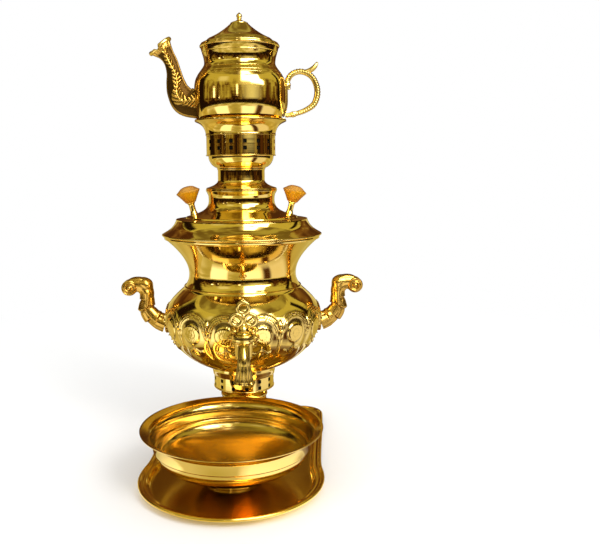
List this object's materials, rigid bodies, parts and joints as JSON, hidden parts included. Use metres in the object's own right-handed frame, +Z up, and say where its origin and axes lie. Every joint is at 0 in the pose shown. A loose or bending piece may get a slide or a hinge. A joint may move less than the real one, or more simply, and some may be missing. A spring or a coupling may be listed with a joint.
{
  "type": "samovar",
  "caption": "Brass charcoal samovar with a taper-plug tap, a lift-off lid, a pierced crown that carries a teapot, and a drip bowl on a shaped tray.",
  "frame": {"origin": "on the samovar's own axis, on the tray's underside", "axes": "+Z up along the samovar's axis, -Y towards the tap, +X towards the teapot's handle"},
  "size_m": [0.327, 0.3846, 0.5624],
  "materials": {
    "polished_brass": "spun sheet, mirror polished and lacquered",
    "chased_brass": "polished, with a raised pattern chased round the belly",
    "cast_brass": "sand cast, polished on the high spots",
    "turned_brass": "turned, fine tool lines",
    "smoked_brass": "drawn tube, browned by heat",
    "grate_iron": "rough casting with grey ash",
    "gasket_rubber": "matt",
    "amber_wood": "turned and lacquered amber"
  },
  "bodies": {
    "tray": {"tray": "polished_brass"},
    "drip_bowl": {"drip_bowl": "polished_brass", "bowl_lip": "polished_brass"},
    "urn": {"feet": "cast_brass", "plinth": "polished_brass", "pedestal": "polished_brass", "fire_ring": "polished_brass", "fire_tube": "smoked_brass", "ash_grate": "grate_iron", "urn": "chased_brass", "urn_shoulder": "chased_brass", "urn_mouth": "polished_brass", "handle_left": "cast_brass", "handle_right": "cast_brass", "handle_plates": "cast_brass", "handle_rivets": "turned_brass", "tap_rosette": "cast_brass", "tap_gasket": "gasket_rubber", "tap_body": "cast_brass", "tap_lock_nut": "turned_brass"},
    "tap_key": {"tap_plug": "turned_brass", "tap_key": "cast_brass", "plug_washer": "turned_brass", "plug_nut": "turned_brass"},
    "lid": {"lid": "polished_brass", "lid_neck": "polished_brass", "knob_stems": "turned_brass", "lid_knobs": "amber_wood", "knob_nuts": "turned_brass"},
    "crown": {"crown_base": "polished_brass", "crown_cup": "polished_brass", "crown_drum": "polished_brass", "crown_seat": "polished_brass"},
    "teapot": {"teapot": "polished_brass", "teapot_neck": "polished_brass", "teapot_spout": "cast_brass", "teapot_handle": "cast_brass", "handle_strap": "polished_brass"},
    "teapot_lid": {"teapot_lid": "polished_brass", "teapot_finial": "turned_brass", "finial_nut": "turned_brass"}
  },
  "joints": [
    {"name": "urn_lift", "type": "slide", "parent": "tray", "child": "urn", "axis": [0, 0, 1], "range_m": [0, 0.1]},
    {"name": "bowl_lift", "type": "slide", "parent": "tray", "child": "drip_bowl", "axis": [0, 0, 1], "range_m": [0, 0.025]},
    {"name": "tap_turn", "type": "hinge", "parent": "urn", "child": "tap_key", "pos_m": [0, -0.15, 0.1573], "axis": [0, 0, 1], "continuous": true},
    {"name": "lid_lift", "type": "slide", "parent": "urn", "child": "lid", "axis": [0, 0, 1], "range_m": [0, 0.1]},
    {"name": "crown_lift", "type": "slide", "parent": "lid", "child": "crown", "axis": [0, 0, 1], "range_m": [0, 0.06]},
    {"name": "teapot_lift", "type": "slide", "parent": "crown", "child": "teapot", "axis": [0, 0, 1], "range_m": [0, 0.1]},
    {"name": "teapot_lid_lift", "type": "slide", "parent": "teapot", "child": "teapot_lid", "axis": [0, 0, 1], "range_m": [0, 0.05]}
  ]
}
